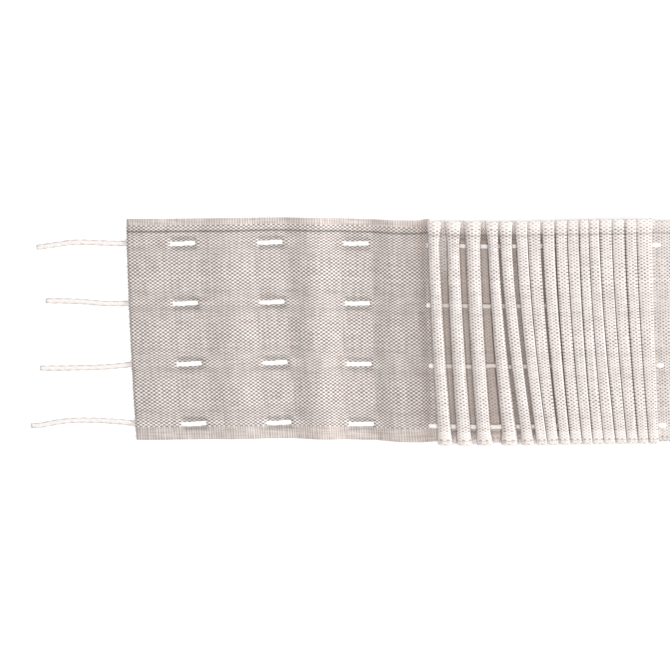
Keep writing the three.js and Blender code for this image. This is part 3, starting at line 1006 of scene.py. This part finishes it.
def stub_corners(root, outward, reach, bend):
    """Three rings of corners round one cut yarn, in metres."""
    x, y, z = root
    corners = []
    for gone, width in ((-STUB_ROOT, 1), (reach * 0.5, STUB_MIDDLE), (reach, STUB_TIP)):
        for k in range(STUB_SIDES):
            angle = 2 * math.pi * k / STUB_SIDES
            aside = bend * max(gone, 0) / reach + STUB_RADIUS * width * math.cos(angle)
            up = STUB_RADIUS * width * math.sin(angle)
            corners.append(((x + outward * gone) * MM, (y + drift(x) + aside) * MM, (z + up) * MM))
    return corners


def cut_yarns():
    """The cut warp yarns that stand out of both ends of the tape, uneven in length, as one mesh."""
    chance = np.random.default_rng(5)
    corners, faces = [], []
    count = int((TAPE_WIDTH - 2 * STUB_MARGIN) / STUB_PITCH)
    for number in range(count):
        y = -HALF_WIDTH + STUB_MARGIN + (number + 0.5) * STUB_PITCH
        path = cloth_path(y)
        for (x, z), outward in ((path[0], -1), (path[-1], 1)):
            reach = STUB_LEAST + STUB_MORE * chance.random() ** 2
            bend = chance.uniform(-STUB_BEND, STUB_BEND)
            faces += tube_faces(3, STUB_SIDES, first=len(corners), turn=outward)
            corners += stub_corners((x, y, z), outward, reach, bend)
    return add_piece("cut_yarns", corners, faces, cut_yarn_material())


def cut_yarn_material():
    """The cloth's own yarn, fuzzy and uneven at the cut."""
    g = Graph("cut_yarn")
    fuzz = g.noise(g.node("ShaderNodeTexCoord").outputs["Object"], CUT_FIBRES, FIBRE_DETAIL)
    tone = g.mix(g.between(fuzz, FIBRE_LOW, FIBRE_HIGH), CUT_DULL, CUT_BRIGHT)
    g.feed(g.shader.inputs["Base Color"], tone)
    g.bump(fuzz, *CUT_RELIEF)
    return g.matt_yarn(roughness=0.9, sheen=0.15)


# The stage and its light, in metres and watts. Both lamps aim at the middle of the part.
FLOOR_SIZE = 6
FLOOR_GLOW = 0.2
WORLD_LIGHT = 0.32
Lamp = namedtuple("Lamp", "name place width length power")
LAMPS = [
    Lamp("overhead", (0, 0.15, 3), 0.5, 0.9, 68),
    Lamp("side", (1.6, 0.2, 0.75), 1, 1, 28),
]


def make_stage():
    bpy.ops.mesh.primitive_plane_add(size=FLOOR_SIZE)
    floor = bpy.context.object
    floor.name = "floor"
    g = Graph("pale_floor")
    g.shader.inputs["Base Color"].default_value = (0.8, 0.8, 0.8, 1)
    g.shader.inputs["Emission Color"].default_value = (1, 1, 1, 1)
    g.shader.inputs["Emission Strength"].default_value = FLOOR_GLOW
    g.shader.inputs["Roughness"].default_value = 0.9
    floor.data.materials.append(g.material)


def softbox(lamp):
    data = bpy.data.lights.new(lamp.name, "AREA")
    data.shape = "RECTANGLE"
    data.size = lamp.width
    data.size_y = lamp.length
    data.energy = lamp.power
    box = bpy.data.objects.new(lamp.name, data)
    box.location = lamp.place
    x, y, z = lamp.place
    box.rotation_euler = (math.atan2(math.hypot(x, y), z), 0, math.atan2(-x, y) + math.pi)
    bpy.context.collection.objects.link(box)


def make_light():
    world = bpy.data.worlds.new("studio")
    world.use_nodes = True
    world.node_tree.nodes["Background"].inputs[0].default_value = (1, 1, 1, 1)
    world.node_tree.nodes["Background"].inputs[1].default_value = WORLD_LIGHT
    bpy.context.scene.world = world
    bpy.context.scene.view_settings.view_transform = "Standard"
    for lamp in LAMPS:
        softbox(lamp)


def make_cords():
    held_yarn, loose_yarn = cord_material(HELD_YARN), cord_material(LOOSE_YARN)
    for name in CORD_Y:
        short_name = name.removeprefix("draw_")
        held = twisted_cord("held_" + short_name, held_route(name), HELD_FULLNESS, held_yarn)
        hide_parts(name)
        route = loose_route(name)
        loose = twisted_cord("loose_" + short_name, route, LOOSE_FULLNESS, loose_yarn)
        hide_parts(name + "_end")
        for piece in (held, loose):
            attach(piece, "root")


def make_tape():
    tape, flat_length = tape_sheet()
    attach(tape, "root")
    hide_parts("tape")
    stubs = cut_yarns()
    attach(stubs, "root")


make_camera()
make_cords()
make_tape()
make_stage()
make_light()
